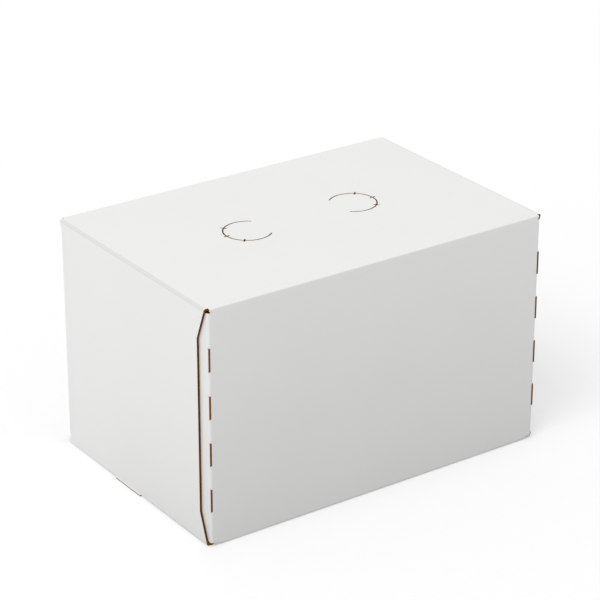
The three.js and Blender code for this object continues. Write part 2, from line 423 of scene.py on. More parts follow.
@dataclass
class Sheet:
    """A flat piece of board: its outline and holes, its folds and the way its flutes run."""

    board: FlutedBoard
    seat: Seat
    outline: Loop
    folds: list[Line]
    holes: list[Loop] = field(default_factory=list)
    flutes: Flutes = Flutes.ALONG_V
    shows_flutes: bool = True
    mesh: MeshDraft = field(default_factory=MeshDraft, init=False)

    @property
    def across(self) -> Axis:
        """The axis of the frame along which the flutes follow each other."""
        arrow = self.seat.right if self.flutes is Flutes.ALONG_V else self.seat.up
        return max(Axis, key=lambda axis: abs(arrow[axis.value]))

    def draft(self) -> MeshDraft:
        """Draws the sheet with its faces, rims and fluting."""
        loops = [self._cut(counter_clockwise(self.outline), self.shows_flutes)]
        loops += [self._cut(counter_clockwise(hole)[::-1], False) for hole in self.holes]
        rings = [self._rings(loop) for loop in loops]
        self._add_faces(loops, [ring for loop in rings for ring in loop])
        for loop, ring in zip(loops, rings):
            self._add_rim(loop, ring)
            self._add_fluting(loop)
        return self.mesh

    def _point(self, spot: Iterable[float], depth: float = 0.0) -> int:
        """Adds a point of the sheet, at a depth below its outer face, and returns its index."""
        return self.mesh.add_point(self.seat.point(*spot, depth))

    def _kind(self, start: Vector, end: Vector) -> Edge:
        """Says how the edge between two points ends.

        Args:
            start: One point.
            end: The other.

        Returns:
            The kind of edge.
        """
        for first, second in self.folds:
            base, line = Vector(first), Vector(second) - Vector(first)
            if all(abs(line.cross(point - base)) < TOLERANCE * line.length for point in (start, end)):
                return Edge.FOLD
        way = (end - start).normalized()
        return Edge.OPEN if abs(way.dot(Vector(self.flutes.value))) < DIAGONAL else Edge.CLOSED

    def _cut(self, loop: Loop, shows_flutes: bool) -> CutLoop:
        """Sorts the edges of a loop, and holds open flutes back from its sharp corners.

        Args:
            loop: Corners of the loop, with the board on its left.
            shows_flutes: Whether its edges may show open flutes, or are crushed by the knife.

        Returns:
            The loop with its edges.
        """
        sides = edges_of([Vector(point) for point in loop])
        kinds = [self._kind(*side) for side in sides]
        if not shows_flutes:
            kinds = [Edge.CLOSED if kind is Edge.OPEN else kind for kind in kinds]
        cut = CutLoop(crushed=not shows_flutes)
        for i, (kind, (start, end)) in enumerate(zip(kinds, sides)):
            beside = (kinds[i - 1], kinds[(i + 1) % len(kinds)])
            lone_start, lone_end = (kind is Edge.OPEN and other is not Edge.OPEN for other in beside)
            if (lone_start or lone_end) and (end - start).length <= self.board.shortest_mouth:
                kind, lone_start, lone_end = Edge.CLOSED, False, False
            step = (end - start).normalized() * self.board.mouth_setback
            cut.add(loop[i], Edge.CLOSED if lone_start else kind)
            if lone_start:
                cut.add(tuple(start + step), kind)
            if lone_end:
                cut.add(tuple(end - step), Edge.CLOSED)
        return cut

    def _rings(self, loop: CutLoop) -> list[list[int]]:
        """Adds the points of a cut edge at each depth where its layers change.

        Args:
            loop: The cut. The knife presses the coating back from a crushed one.

        Returns:
            For each point of the loop, its indices from the outer to the inner face.
        """
        arrows = loop.inward(Edge.CLOSED, Edge.OPEN) if loop.crushed else {}
        rings = []
        for i, point in enumerate(loop.points):
            at_fold = Edge.FOLD in (loop.edges[i - 1], loop.edges[i])
            arrow = arrows.get(i, Vector((0, 0)))
            face = Vector(point) + arrow * (0.0 if at_fold else self.board.crushed_lip)
            rings.append([self._point(face), *(self._point(point, depth) for depth in self.board.rows[1:])])
        return rings

    def _add_faces(self, loops: list[CutLoop], rings: list[list[int]]) -> None:
        """Fills the outer and inner face.

        Args:
            loops: Outline and holes.
            rings: For each point of all loops in turn, its indices from the outer to the inner face.
        """
        flat = [Vector(point) for loop in loops for point in loop.points]
        ends = accumulate((len(loop.points) for loop in loops), initial=0)
        faces = [list(range(first, last)) for first, last in pairwise(ends)]
        _, _, triangles, origins, _, _ = delaunay_2d_cdt(flat, [], faces, INSIDE_WITH_HOLES, TOLERANCE)
        for triangle in triangles:
            corners = [rings[origins[i][0]] for i in triangle]
            self.mesh.add_face((ring[0] for ring in corners), Finish.COAT)
            self.mesh.add_face((ring[-1] for ring in reversed(corners)), Finish.LINER)

    def _add_rim(self, loop: CutLoop, rings: list[list[int]]) -> None:
        """Adds the edge faces of a loop, with a mouth wherever the flutes are open.

        Args:
            loop: The cut.
            rings: Indices of each point from the outer to the inner face.
        """
        mouths = {}
        for i, arrow in loop.inward(Edge.OPEN).items():
            deep = Vector(loop.points[i]) + arrow * self.board.mouth_depth
            mouths[i] = [self._point(deep, depth) for depth in self.board.rows[1:3]]
        for i, kind in enumerate(loop.edges):
            j = (i + 1) % len(loop.edges)
            if kind is not Edge.OPEN:
                self.mesh.add_band(rings[i], rings[j], (Finish.CUT, Finish.MEDIUM, Finish.CUT))
                continue
            first, second = ((*rings[k][:2], *mouths[k], *rings[k][2:]) for k in (i, j))
            # The liners' faces inside an open mouth take the darker fluting finish: painted shade.
            self.mesh.add_band(first, second, (Finish.CUT, *(Finish.MEDIUM,) * 3, Finish.CUT))
            if loop.edges[i - 1] is not Edge.OPEN:
                self.mesh.add_face((rings[i][1], rings[i][2], mouths[i][1], mouths[i][0]), Finish.MEDIUM)
            if loop.edges[j] is not Edge.OPEN:
                self.mesh.add_face((rings[j][1], mouths[j][0], mouths[j][1], rings[j][2]), Finish.MEDIUM)

    def _add_fluting(self, loop: CutLoop) -> None:
        """Adds the wavy medium that shows in each open mouth.

        Args:
            loop: The cut.
        """
        points, edges, count = loop.points, loop.edges, len(loop.points)
        arrows = loop.inward(Edge.OPEN)
        run: list[list[int]] = []
        first = next((i for i in range(count) if edges[i - 1] is not Edge.OPEN), 0)
        for i in (k % count for k in range(first, first + count)):
            if edges[i] is not Edge.OPEN:
                continue
            j = (i + 1) % count
            start, end = Vector(points[i]), Vector(points[j])
            waves = abs((end - start).cross(Vector(self.flutes.value))) / self.board.flute_pitch
            steps = max(1, math.ceil(waves * self.board.steps_per_flute))
            ends_here = edges[j] is not Edge.OPEN
            for share in (step / steps for step in range(steps + ends_here)):
                run.append(self._medium_section(start.lerp(end, share), arrows[i].lerp(arrows[j], share)))
            if ends_here:
                for one, two in pairwise(run):
                    self.mesh.add_band((*one, one[0]), (*two, two[0]), (Finish.MEDIUM,) * 4)
                self.mesh.add_face(reversed(run[0]), Finish.MEDIUM)
                self.mesh.add_face(run[-1], Finish.MEDIUM)
                run = []

    def _medium_section(self, place: Vector, arrow: Vector) -> list[int]:
        """Adds the four corners of the medium where a cut crosses it.

        Args:
            place: Point on the cut, in the sheet's plane.
            arrow: Step into the board, one unit deep.

        Returns:
            The corners' indices, in a ring.
        """
        board = self.board
        phase = math.tau * place.cross(Vector(self.flutes.value)) / board.flute_pitch
        middle = board.thickness / 2 + board.wave_height * math.cos(phase)
        near = place + arrow * board.medium_recess
        far = place + arrow * (board.mouth_depth - board.medium_recess)
        upper, lower = middle - board.medium / 2, middle + board.medium / 2
        corners = ((near, upper), (near, lower), (far, lower), (far, upper))
        return [self._point(*corner) for corner in corners]


@dataclass
class FoldStrip:
    """Board creased through a right angle, between two panels that would meet at a corner line."""

    board: FlutedBoard
    start: Vector
    end: Vector
    into_first: Vector
    into_second: Vector
    crease: Crease
    slits: list[Span] = field(default_factory=list)
    hang: dict[float, float] = field(default_factory=dict)
    steps: int = 8

    def _section(self) -> list[tuple[Point, Point]]:
        """Draws the section of the strip, from the first panel to the second.

        Returns:
            Points of the outer face, each with its fellow on the inner face. A point is given by its
            distances from the corner line, into the first panel and into the second.
        """
        reach, depth, radius = self.board.fold_reach, self.board.thickness, self.crease.value
        tightest = reach - depth
        section = []
        for step in range(self.steps + 1):
            turn = math.pi / 2 * step / self.steps
            first, second = 1 - math.sin(turn), 1 - math.cos(turn)
            inner = (depth + tightest * first, depth + tightest * second)
            section.append(((radius * first, radius * second), inner))
        if reach - radius > TOLERANCE:
            section = [((reach, 0.0), (reach, depth)), *section, ((0.0, reach), (depth, reach))]
        return section

    def _point(self, along: float, spot: Point, hangs: bool = False) -> Vector:
        """Places a point of the section in metres.

        Args:
            along: Distance along the fold in millimetres.
            spot: The point's distances from the corner line.
            hangs: Whether it goes down with the first panel where that hangs.

        Returns:
            The point.
        """
        corner = self.start + (self.end - self.start).normalized() * along
        drop = self.hang.get(along, 0.0) if hangs else 0.0
        return (corner + self.into_first * (spot[0] - drop) + self.into_second * spot[1]) * MM

    def draft(self) -> MeshDraft:
        """Draws the strip with its rims."""
        length = (self.end - self.start).length
        stops = sorted({0.0, length, *self.hang, *(stop for slit in self.slits for stop in slit)})

        def keep(column: int) -> bool:
            """Says whether a stretch lies outside every slit."""
            middle = (stops[column] + stops[column + 1]) / 2
            return not any(low < middle < high for low, high in self.slits)

        section = self._section()
        last = len(section) - 1
        outer, inner = (
            [[self._point(stop, spot, row < last) for stop in stops] for row, spot in enumerate(face)]
            for face in zip(*section)
        )
        return MeshDraft.shell(outer, inner, keep)

    @property
    def bend(self) -> Bend:
        """Where the bend starts and ends on the inner face, halfway along the fold, in metres."""
        half, section = (self.end - self.start).length / 2, self._section()
        return self._point(half, section[0][1]), self._point(half, section[-1][1])


# Finishes


def linear(hex_colour: str) -> tuple[float, float, float, float]:
    """Turns an sRGB colour such as #ECECEA to linear light.

    Args:
        hex_colour: The colour as six hex digits after a hash sign.

    Returns:
        Red, green, blue and an alpha of one.
    """
    shares = [int(hex_colour[k : k + 2], 16) / 255 for k in (1, 3, 5)]
    light = [s / 12.92 if s <= 0.04045 else ((s + 0.055) / 1.055) ** 2.4 for s in shares]
    return (*light, 1.0)


def per_metre(size_mm: float) -> float:
    """Gives the texture scale of a pattern from its size in millimetres."""
    return 1 / (size_mm * MM)


def bare_tree(owner: Material | bpy.types.World) -> Tree:
    """Gives a new material or world an empty node tree.

    Args:
        owner: The material or world.

    Returns:
        Its node tree.
    """
    owner.use_nodes = True
    owner.node_tree.nodes.clear()
    return owner.node_tree


def add_node(tree: Tree, kind: str, inputs: dict | None = None, **settings: object) -> bpy.types.Node:
    """Adds a node with its settings and links.

    Args:
        tree: Node tree that takes the node.
        kind: Blender's name of the node type.
        inputs: For each input, by name or place, a value or the output that feeds it.
        settings: Properties of the node.

    Returns:
        The new node.
    """
    node = tree.nodes.new(kind)
    for name, value in settings.items():
        setattr(node, name, value)
    for key, value in (inputs or {}).items():
        if isinstance(value, Socket):
            tree.links.new(value, node.inputs[key])
        else:
            node.inputs[key].default_value = value
    return node


@dataclass(frozen=True)
class PaperFinish:
    """A paper surface: two close colours in soft patches, and fibres that roughen it.

    Where an axis is given, flutes that follow each other along it press through the paper.
    """

    name: str
    colour: str
    patch_colour: str
    patch_mm: float
    fibre_mm: float
    fibre_height_mm: float
    roughness: Span
    fibre_stretch: tuple[float, float, float] = (1.0, 1.0, 1.0)
    ior: float = 1.5
    patch_detail: float = 3.0
    fibre_detail: float = 4.0
    across: Axis | None = None
    flute_mm: float = 2.4
    flute_height_mm: float = 0.0035

    def material(self) -> Material:
        """Makes the finish as a node material."""
        material = bpy.data.materials.new(self.name)
        tree = bare_tree(material)
        place = add_node(tree, "ShaderNodeTexCoord").outputs["Object"]
        patch = {"Vector": place, "Scale": per_metre(self.patch_mm), "Detail": self.patch_detail}
        patches = add_node(tree, "ShaderNodeTexNoise", patch).outputs["Fac"]
        colours = {0: patches, MIX_FIRST: linear(self.colour), MIX_SECOND: linear(self.patch_colour)}
        colour = add_node(tree, "ShaderNodeMix", colours, data_type="RGBA")
        drawn_out = add_node(tree, "ShaderNodeMapping", {"Vector": place, "Scale": self.fibre_stretch})
        fibre = {"Scale": per_metre(self.fibre_mm), "Detail": self.fibre_detail}
        fibre["Vector"] = drawn_out.outputs[0]
        fibres = add_node(tree, "ShaderNodeTexNoise", fibre).outputs["Fac"]
        low, high = self.roughness
        gloss = add_node(tree, "ShaderNodeMapRange", {"Value": fibres, "To Min": low, "To Max": high})
        relief = {"Height": self._height(tree, place, fibres), "Distance": 1.0}
        bump = add_node(tree, "ShaderNodeBump", relief)
        paper = {
            "Base Color": colour.outputs[MIX_COLOUR],
            "Roughness": gloss.outputs[0],
            "IOR": self.ior,
            "Normal": bump.outputs[0],
        }
        surface = add_node(tree, "ShaderNodeBsdfPrincipled", paper)
        add_node(tree, "ShaderNodeOutputMaterial", {"Surface": surface.outputs[0]})
        return material

    def _height(self, tree: Tree, place: Socket, fibres: Socket) -> Socket:
        """Gives the height of the surface.

        Args:
            tree: Node tree of the material.
            place: Coordinates in the frame.
            fibres: Pattern of the fibres.

        Returns:
            The output that holds the height in metres.
        """
        lift = {0: fibres, 1: self.fibre_height_mm * MM}
        paper = add_node(tree, "ShaderNodeMath", lift, operation="MULTIPLY").outputs[0]
        if self.across is None:
            return paper
        parts = add_node(tree, "ShaderNodeSeparateXYZ", {"Vector": place})
        turns = {0: parts.outputs[self.across.value], 1: math.tau * per_metre(self.flute_mm)}
        turn = add_node(tree, "ShaderNodeMath", turns, operation="MULTIPLY")
        wave = add_node(tree, "ShaderNodeMath", {0: turn.outputs[0]}, operation="SINE")
        heights = {0: wave.outputs[0], 1: self.flute_height_mm * MM, 2: paper}
        return add_node(tree, "ShaderNodeMath", heights, operation="MULTIPLY_ADD").outputs[0]


@dataclass(frozen=True)
class CoatedFace(PaperFinish):
    """Clay-coated white liner, calendered: matt and near neutral, with the flutes just felt beneath it."""

    name: str = "clay_coated_white_liner"
    colour: str = "#EDEDEC"
    patch_colour: str = "#EAEAE9"
    patch_mm: float = 38.0
    fibre_mm: float = 0.9
    fibre_height_mm: float = 0.004
    roughness: Span = (0.44, 0.56)


@dataclass(frozen=True)
class CreaseShadeCoating(PaperFinish):
    """The same coating, greyer as painted shade along a crease, with its fibres drawn apart."""

    name: str = "white_coating_painted_crease_shade"
    colour: str = "#DEDEDC"
    patch_colour: str = "#D7D7D5"
    patch_mm: float = 2.5
    fibre_mm: float = 0.5
    fibre_height_mm: float = 0.015
    roughness: Span = (0.5, 0.65)


@dataclass(frozen=True)
class KraftLiner(PaperFinish):
    """Uncoated kraft paper: warm brown, cloudy, with long fibres and no gloss."""

    name: str = "uncoated_kraft_liner"
    colour: str = "#B98E61"
    patch_colour: str = "#A67A4E"
    patch_mm: float = 3.0
    fibre_mm: float = 1.2
    fibre_height_mm: float = 0.02
    roughness: Span = (0.78, 0.92)
    fibre_stretch: tuple[float, float, float] = (0.25, 1.0, 1.0)


@dataclass(frozen=True)
class ShadedCutEdge(PaperFinish):
    """Die-cut edge of kraft board: crushed fibres with no coating left on them, darker than their own brown
    by painted shade from the gaps beside them.
    """

    name: str = "die_cut_kraft_edge_painted_shade"
    # Own kraft brown darkened with painted shade from the gaps beside the edges.
    colour: str = "#8E5B10"
    patch_colour: str = "#72480A"
    patch_mm: float = 1.6
    fibre_mm: float = 0.4
    fibre_height_mm: float = 0.03
    roughness: Span = (0.8, 0.95)
    ior: float = 1.2


@dataclass(frozen=True)
class FlutingMedium(PaperFinish):
    """Recycled fluting paper: warm brown, rough, darker than the liners round it. It also walls each open
    mouth, as painted shade in place of the liners' own colour.
    """

    name: str = "recycled_fluting_medium"
    colour: str = "#8C5A12"
    patch_colour: str = "#6E450B"
    patch_mm: float = 2.0
    fibre_mm: float = 0.5
    fibre_height_mm: float = 0.02
    roughness: Span = (0.85, 0.95)
    ior: float = 1.2


@dataclass(frozen=True)
class SeamGlue(PaperFinish):
    """Dried dispersion glue: amber, smooth and slightly glossy, with soft lumps."""

    name: str = "dried_dispersion_glue"
    colour: str = "#D2BE93"
    patch_colour: str = "#BFA676"
    patch_mm: float = 4.0
    fibre_mm: float = 2.0
    fibre_height_mm: float = 0.05
    roughness: Span = (0.25, 0.4)
    ior: float = 1.47


# The carton


@dataclass(frozen=True)
class Planes:
    """Outer faces of the carton's layers, read from the frame, in millimetres."""

    top: float
    side: float
    end: float
    dust: float
    bottom: float
    seam: float
    board: float

    @classmethod
    def from_frame(cls) -> Planes:
        """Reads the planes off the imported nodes."""
        low_top, high_top = (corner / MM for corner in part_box("top_panel"))
        return cls(
            top=high_top.z,
            side=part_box("back_panel")[1].y / MM,
            end=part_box("right_end_panel")[1].x / MM,
            dust=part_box("right_front_dust_flap")[1].x / MM,
            bottom=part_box("bottom_panel")[0].z / MM,
            seam=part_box("glue_flap")[0].z / MM,
            board=high_top.z - low_top.z,
        )


class BoardShop:
    """Makes pieces of board and fits them to the frame."""

    def __init__(self, planes: Planes) -> None:
        """Prepares the board and the finishes that all pieces share.

        Args:
            planes: Outer faces of the carton's layers.
        """
        self.planes = planes
        self.board = FlutedBoard(planes.board)
        back = [finish().material() for finish in (KraftLiner, ShadedCutEdge, FlutingMedium)]
        pitch = self.board.flute_pitch
        self.sheet_finishes: dict[Axis, list[Material]] = {}
        for axis in Axis:
            coat = CoatedFace(name=f"{CoatedFace.name}_{axis.label}", across=axis, flute_mm=pitch)
            self.sheet_finishes[axis] = [coat.material(), *back]
        # A greyer copy of the coating: painted shade for the crease of a fold.
        self.crease_shade_finishes = [CreaseShadeCoating().material(), *back]
        self.glue_finishes = [SeamGlue().material()] * len(Finish)

    def fit_sheet(self, sheet: Sheet, body: str, node: str) -> None:
        """Makes the sheet of board that stands for a node and moves with a body."""
        piece = sheet.draft().to_object(f"{node}_board", self.sheet_finishes[sheet.across])
        self._stand_in(piece, body, node)

    def fit_glue(self, name: str, draft: MeshDraft, body: str, node: str) -> None:
        """Makes a line of glue that stands for a node and moves with a body."""
        self._stand_in(draft.to_object(name, self.glue_finishes), body, node)

    def fit_fold(self, name: str, strip: FoldStrip, *bodies: str, crease_shaded: bool = False) -> None:
        """Makes the strip of board along a fold, on one body or between two."""
        self.fit_strip(name, strip.draft(), *bodies, bend=strip.bend, crease_shaded=crease_shaded)

    def fit_strip(
        self, name: str, draft: MeshDraft, *bodies: str, bend: Bend | None = None, crease_shaded: bool = False
    ) -> None:
        """Makes a strip of board that rides on one body, or is left where it is drawn between two.

        Args:
            name: Name of the piece.
            draft: The drawn strip.
            bodies: The body that carries it, or the two bodies that it joins.
            bend: Not used.
            crease_shaded: Whether the coating is the greyer one that paints shade along a crease.
        """
        piece = draft.to_object(name, self.crease_shade_finishes if crease_shaded else self.sheet_finishes[Axis.X])
        if len(bodies) == 1:
            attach(piece, bodies[0])
        else:
            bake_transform(piece)
        LOG.info("strip %s on %s", name, " and ".join(bodies))

    def _stand_in(self, piece: Piece, body: str, node: str) -> None:
        """Fits a piece in the place of a node.

        Args:
            piece: The finished piece.
            body: Body that it moves with.
            node: Node that it stands for.
        """
        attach(piece, body)
        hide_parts(node)
        LOG.info("piece %s on %s, %d faces", piece.name, body, len(piece.data.polygons))


@dataclass(frozen=True)
class Assembly:
    """A part of the carton, with the shop that makes its pieces."""

    shop: BoardShop

    @property
    def planes(self) -> Planes:
        """Outer faces of the carton's layers."""
        return self.shop.planes

    @property
    def board(self) -> FlutedBoard:
        """The board that every piece is cut from."""
        return self.shop.board


@dataclass(frozen=True)
class EndAssembly(Assembly):
    """A part that the carton has at each end."""

    side: Side

    @property
    def name(self) -> str:
        """The end's name in the frame."""
        return self.side.label

    @property
    def sign(self) -> int:
        """The sign of the end's X."""
        return self.side.value


@dataclass(frozen=True)
class FingerCut(EndAssembly):
    """A round cut in the top, open towards the carton's middle, with short nicks across it."""

    radius: float = 12.45
    rim_inset: float = 0.85
    kerf: float = 0.4
    hinge_inset: float = 8.2
    hinge_band: float = 1.2
    hinge_lap: float = 0.05
    hinge_sink: float = 0.004
    hinge_steps: int = 8
    nick_length: float = 3.0
    nick_width: float = 0.5
    nick_spread: float = 49.5
    arc_step: float = 5.0

    @property
    def centre(self) -> float:
        """The middle of the cut along the carton, from the frame's tab."""
        rim = max(corner.x * self.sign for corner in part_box(f"{self.name}_finger_tab")) / MM
        return self.sign * (rim - self.rim_inset - self.radius + self.kerf / 2)

    @property
    def opening(self) -> Loop:
        """The hole that the cut leaves in the top panel."""
        reach = (self.nick_length - self.kerf) / 2
        return self._loop(self.radius + self.kerf / 2, reach, -self.hinge_inset - self.hinge_band / 2)

    @property
    def tab(self) -> Loop:
        """The tab inside the cut."""
        reach = -(self.nick_length - self.kerf) / 2
        return self._loop(self.radius - self.kerf / 2, reach, self.hinge_band / 2 - self.hinge_inset)

    def _loop(self, radius: float, nick_reach: float, closing: float) -> Loop:
        """Draws one side of the cut.

        Args:
            radius: Radius of this side of the kerf.
            nick_reach: How far the nicks run outwards from it, negative for inwards.
            closing: Where a straight line closes the round, measured from its middle.

        Returns:
            The outline in the top's plane.
        """
        limit = math.degrees(math.acos(closing / radius))
        nicks = (-self.nick_spread, 0.0, self.nick_spread)
        half = self.nick_width / 2
        far_radius = radius + nick_reach
        near, far = (math.degrees(math.asin(half / reach)) for reach in (radius, far_radius))
        spokes: list[Span] = []
        for first, last in pairwise([-limit, *nicks, limit]):
            start = first + near * (first in nicks)
            finish = last - near * (last in nicks)
            steps = math.ceil((finish - start) / self.arc_step)
            spokes += [(radius, start + (finish - start) * k / steps) for k in range(steps + 1)]
            if last in nicks:
                spokes += [(far_radius, last - far), (far_radius, last + far)]
        turn = 0 if self.side is Side.RIGHT else 180
        turned = [(reach, math.radians(angle + turn)) for reach, angle in spokes]
        return [(self.centre + reach * math.cos(angle), reach * math.sin(angle)) for reach, angle in turned]

    def hinge_edge(self, share: float) -> float:
        """Finds a line of the hinge band, from its middle at zero to its tab's edge at one half."""
        return self.centre + self.sign * (share * self.hinge_band - self.hinge_inset)

    def build(self) -> None:
        """Makes the tab and the band of board that it hinges on."""
        seat = Seat.flat(self.planes.top, faces_up=True)
        folds = [upright(self.hinge_edge(0.5))]
        body = f"{self.name}_tab"
        sheet = Sheet(self.board, seat, self.tab, folds, shows_flutes=False)
        self.shop.fit_sheet(sheet, body, f"{self.name}_finger_tab")
        half_chord = math.sqrt((self.radius - self.kerf / 2) ** 2 - self.hinge_inset**2)
        band = 1 + 2 * self.hinge_lap / self.hinge_band
        shares = [k / self.hinge_steps - 0.5 for k in range(self.hinge_steps + 1)]
        places = [self.hinge_edge(band * share) for share in shares]
        outer, inner = (
            [[seat.point(u, v, depth) for v in (-half_chord, half_chord)] for u in places]
            for depth in (self.hinge_sink, self.board.thickness - self.hinge_sink)
        )
        bend = (seat.point(places[0], 0.0), seat.point(places[-1], 0.0))
        draft = MeshDraft.shell(outer, inner)
        self.shop.fit_strip(f"{self.name}_finger_tab_hinge", draft, "sleeve", body, bend=bend)


@dataclass(frozen=True)
class DustFold(Assembly):
    """The upright folds between walls and dust flaps, with the slits that ease them."""

    foot: float = 2.83
    front_foot: float = 1.95
    head_gap: float = 2.2
    slit_count: int = 4
    slit_length: float = 12.3
    slit_pitch: float = 25.15
    slit_rise: float = 17.85

    @property
    def head(self) -> float:
        """Height at which the folds end."""
        return self.planes.top - self.head_gap

    @property
    def slits(self) -> list[Span]:
        """Heights between which each slit runs."""
        lows = [self.planes.bottom + self.slit_rise + k * self.slit_pitch for k in range(self.slit_count)]
        return [(low, low + self.slit_length) for low in lows]


@dataclass(frozen=True)
class LockTongue(EndAssembly):
    """A tongue of the bottom panel, bent down into a slit of the fold below the end panel."""

    centre: float = 6.8
    width: float = 23.2
    slit_gap: float = 0.3
    root_inset: float = 0.4
    pocket: float = 0.32
    lip_gap: float = 0.1
    coat_path: tuple[Point, ...] = ((-0.4, 1.4), (-0.28, 1.3), (-0.24, 1.15), (-0.22, 0.15))
    back_path: tuple[Point, ...] = ((-0.4, 2.5), (-0.05, 2.35), (0.15, 2.0), (0.2, 0.15))
    lip_coat: tuple[Point, ...] = ((0.0, 1.4), (0.02, 1.0), (0.1, 0.76), (0.32, 0.58))
    lip_back: tuple[Point, ...] = ((-1.1, 1.4), (-1.08, 0.6), (-0.75, 0.2), (0.32, 0.08))

    @property
    def slit(self) -> Span:
        """Where the slit starts and ends across the carton, towards its back."""
        half = self.width / 2 + self.slit_gap
        return self.centre - half, self.centre + half

    def build(self) -> None:
        """Makes the bent tongue."""
        stops = [self.centre + share * self.width for share in (-0.5, 0.5)]
        self._strip("lock_tongue", "sleeve", self.planes.dust, stops, (self.coat_path, self.back_path))

    def build_lip(self) -> None:
        """Makes the lip of the end panel at the slit, which the table pushes outwards."""
        stops = [stop + gap for stop, gap in zip(self.slit, (self.lip_gap, -self.lip_gap))]
        self._strip("lock_lip", f"{self.name}_end", self.planes.end, stops, (self.lip_coat, self.lip_back))

    def _strip(
        self, name: str, body: str, plane: float, stops: Sequence[float], paths: Sequence[tuple[Point, ...]]
    ) -> None:
        """Makes a small bent piece of board.

        Args:
            name: Name of the piece without its side.
            body: Body that it moves with.
            plane: Distance from the carton's middle from which its paths are measured outwards.
            stops: Where it starts and ends across the carton.
            paths: Sections of its coated face and of its back.
        """
        outer, inner = (
            [[Vector((self.sign * (plane + x), y, z)) * MM for y in stops] for x, z in path] for path in paths
        )
        self.shop.fit_strip(f"{self.name}_{name}", MeshDraft.shell(outer, inner), body)


@dataclass(frozen=True)
class Sleeve(Assembly):
    """The glued sleeve: top, front, bottom, back and glue flap, with the folds that never move."""

    fingers: Sequence[FingerCut]
    dust_fold: DustFold
    tongues: Sequence[LockTongue]
    top_fold_inset: float = 1.0
    slit_gap: float = 0.05
    relief_depth: float = 1.45
    relief_length: float = 4.4
    sag_depth: float = 1.05
    sag_run: float = 8.0
    sag_steps: int = 6
    rear_inset: float = 0.8
    glue_flap_depth: float = 20.0
    glue_flap_taper: float = 6.0
    glue_width: float = 10.0
    glue_ripple: float = 1.1
    glue_ripple_length: float = 17.0
    glue_ripple_steps: int = 8
    glue_wander: float = 3.7

    def build(self) -> None:
        """Makes every piece of the sleeve."""
        self._top()
        for wall in Wall:
            self._wall(wall)
        self._bottom()
        self._glue_flap()
        self._glue_line()
        self._folds()
        for tongue in self.tongues:
            tongue.build()

    @property
    def front_foot(self) -> float:
        """Half the length of the front's lower fold, between the relieved corners of the bottom."""
        return self.planes.dust - self.relief_depth

    @property
    def sag(self) -> list[Point]:
        """How far the front's lower fold sags to the table, as places right of the middle and drops."""
        shares = [k / self.sag_steps for k in range(self.sag_steps, 0, -1)]
        drops = [self.sag_depth * share**2 * (3 - 2 * share) for share in shares]
        return [(self.front_foot - share * self.sag_run, drop) for share, drop in zip(shares, drops)]

    def _top(self) -> None:
        """Makes the top panel with its two finger openings."""
        u, v = self.planes.end - self.board.fold_reach, self.planes.side - self.board.fold_reach
        corners = [(-u, -v), (u, -v), (u, v), (-u, v)]
        folds = edges_of(corners) + [upright(finger.hinge_edge(-0.5)) for finger in self.fingers]
        holes = [finger.opening for finger in self.fingers]
        seat = Seat.flat(self.planes.top, faces_up=True)
        self.shop.fit_sheet(Sheet(self.board, seat, corners, folds, holes), "sleeve", "top_panel")

    def _wall(self, wall: Wall) -> None:
        """Makes the front or back panel.

        Args:
            wall: Which of the two.
        """
        planes, reach = self.planes, self.board.fold_reach
        is_front = wall is Wall.FRONT
        foot = (planes.bottom if is_front else planes.seam) + reach
        head = planes.top - reach
        u = planes.dust - reach
        lip = planes.dust - planes.board - self.slit_gap
        lower = [(x, foot - drop) for x, drop in self.sag] if is_front else []
        lower.append((u, foot))
        outline = mirrored([*lower, *toothed(u, lip, self.dust_fold.slits), (u, head)])
        folds = edges_of(mirrored([*lower, (u, head)]))
        seat = Seat(Y_AXIS * (wall.value * planes.side), X_AXIS * -wall.value, Z_AXIS)
        self.shop.fit_sheet(Sheet(self.board, seat, outline, folds), "sleeve", f"{wall.label}_panel")

    def _bottom(self) -> None:
        """Makes the bottom panel, cut back where its lock tongues bend down."""
        dust, side = self.planes.dust, self.planes.side
        front = side - self.board.fold_reach
        tongue = self.tongues[0]
        low, high = tongue.slit
        relieved = front - self.relief_length
        right = [(dust, self.rear_inset - side), *toothed(dust, dust - tongue.root_inset, [(-high, -low)])]
        right += [(dust, relieved), (self.front_foot, relieved), (self.front_foot, front)]
        seat = Seat.flat(self.planes.bottom, faces_up=False)
        sheet = Sheet(self.board, seat, mirrored(right), [level(front)])
        self.shop.fit_sheet(sheet, "sleeve", "bottom_panel")

    def _glue_flap(self) -> None:
        """Makes the flap that closes the sleeve."""
        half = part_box("glue_flap")[1].x / MM
        free = half - self.glue_flap_taper
        fold_v = self.board.fold_reach - self.planes.side
        free_v = self.glue_flap_depth - self.planes.side
        outline = [(-half, fold_v), (half, fold_v), (free, free_v), (-free, free_v)]
        seat = Seat.flat(self.planes.seam, faces_up=False)
        self.shop.fit_sheet(Sheet(self.board, seat, outline, [level(fold_v)]), "sleeve", "glue_flap")

    def _glue_line(self) -> None:
        """Makes the pressed line of glue beneath the glue flap, with a wavy edge."""
        low, high = (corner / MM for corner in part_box("glue_line"))
        middle = (low.y + high.y) / 2
        count = self.glue_ripple_steps * math.ceil((high.x - low.x) / self.glue_ripple_length)
        stops = [low.x + (high.x - low.x) * k / count for k in range(count + 1)]
        outer, inner = (
            [
                [Vector((x, middle + share * self._glue_half_width(x), height)) * MM for x in stops]
                for share in (-1.0, -0.5, 0.0, 0.5, 1.0)
            ]
            for height in (high.z, low.z)
        )
        self.shop.fit_glue("seam_glue_line", MeshDraft.shell(outer, inner), "sleeve", "glue_line")

    def _glue_half_width(self, x: float) -> float:
        """Gives the half width of the pressed glue, which two waves narrow by a ripple at most."""
        waves = math.sin(math.tau * x / self.glue_ripple_length) + math.sin(x / self.glue_wander)
        return self.glue_width / 2 + self.glue_ripple * (waves / 4 - 0.5)

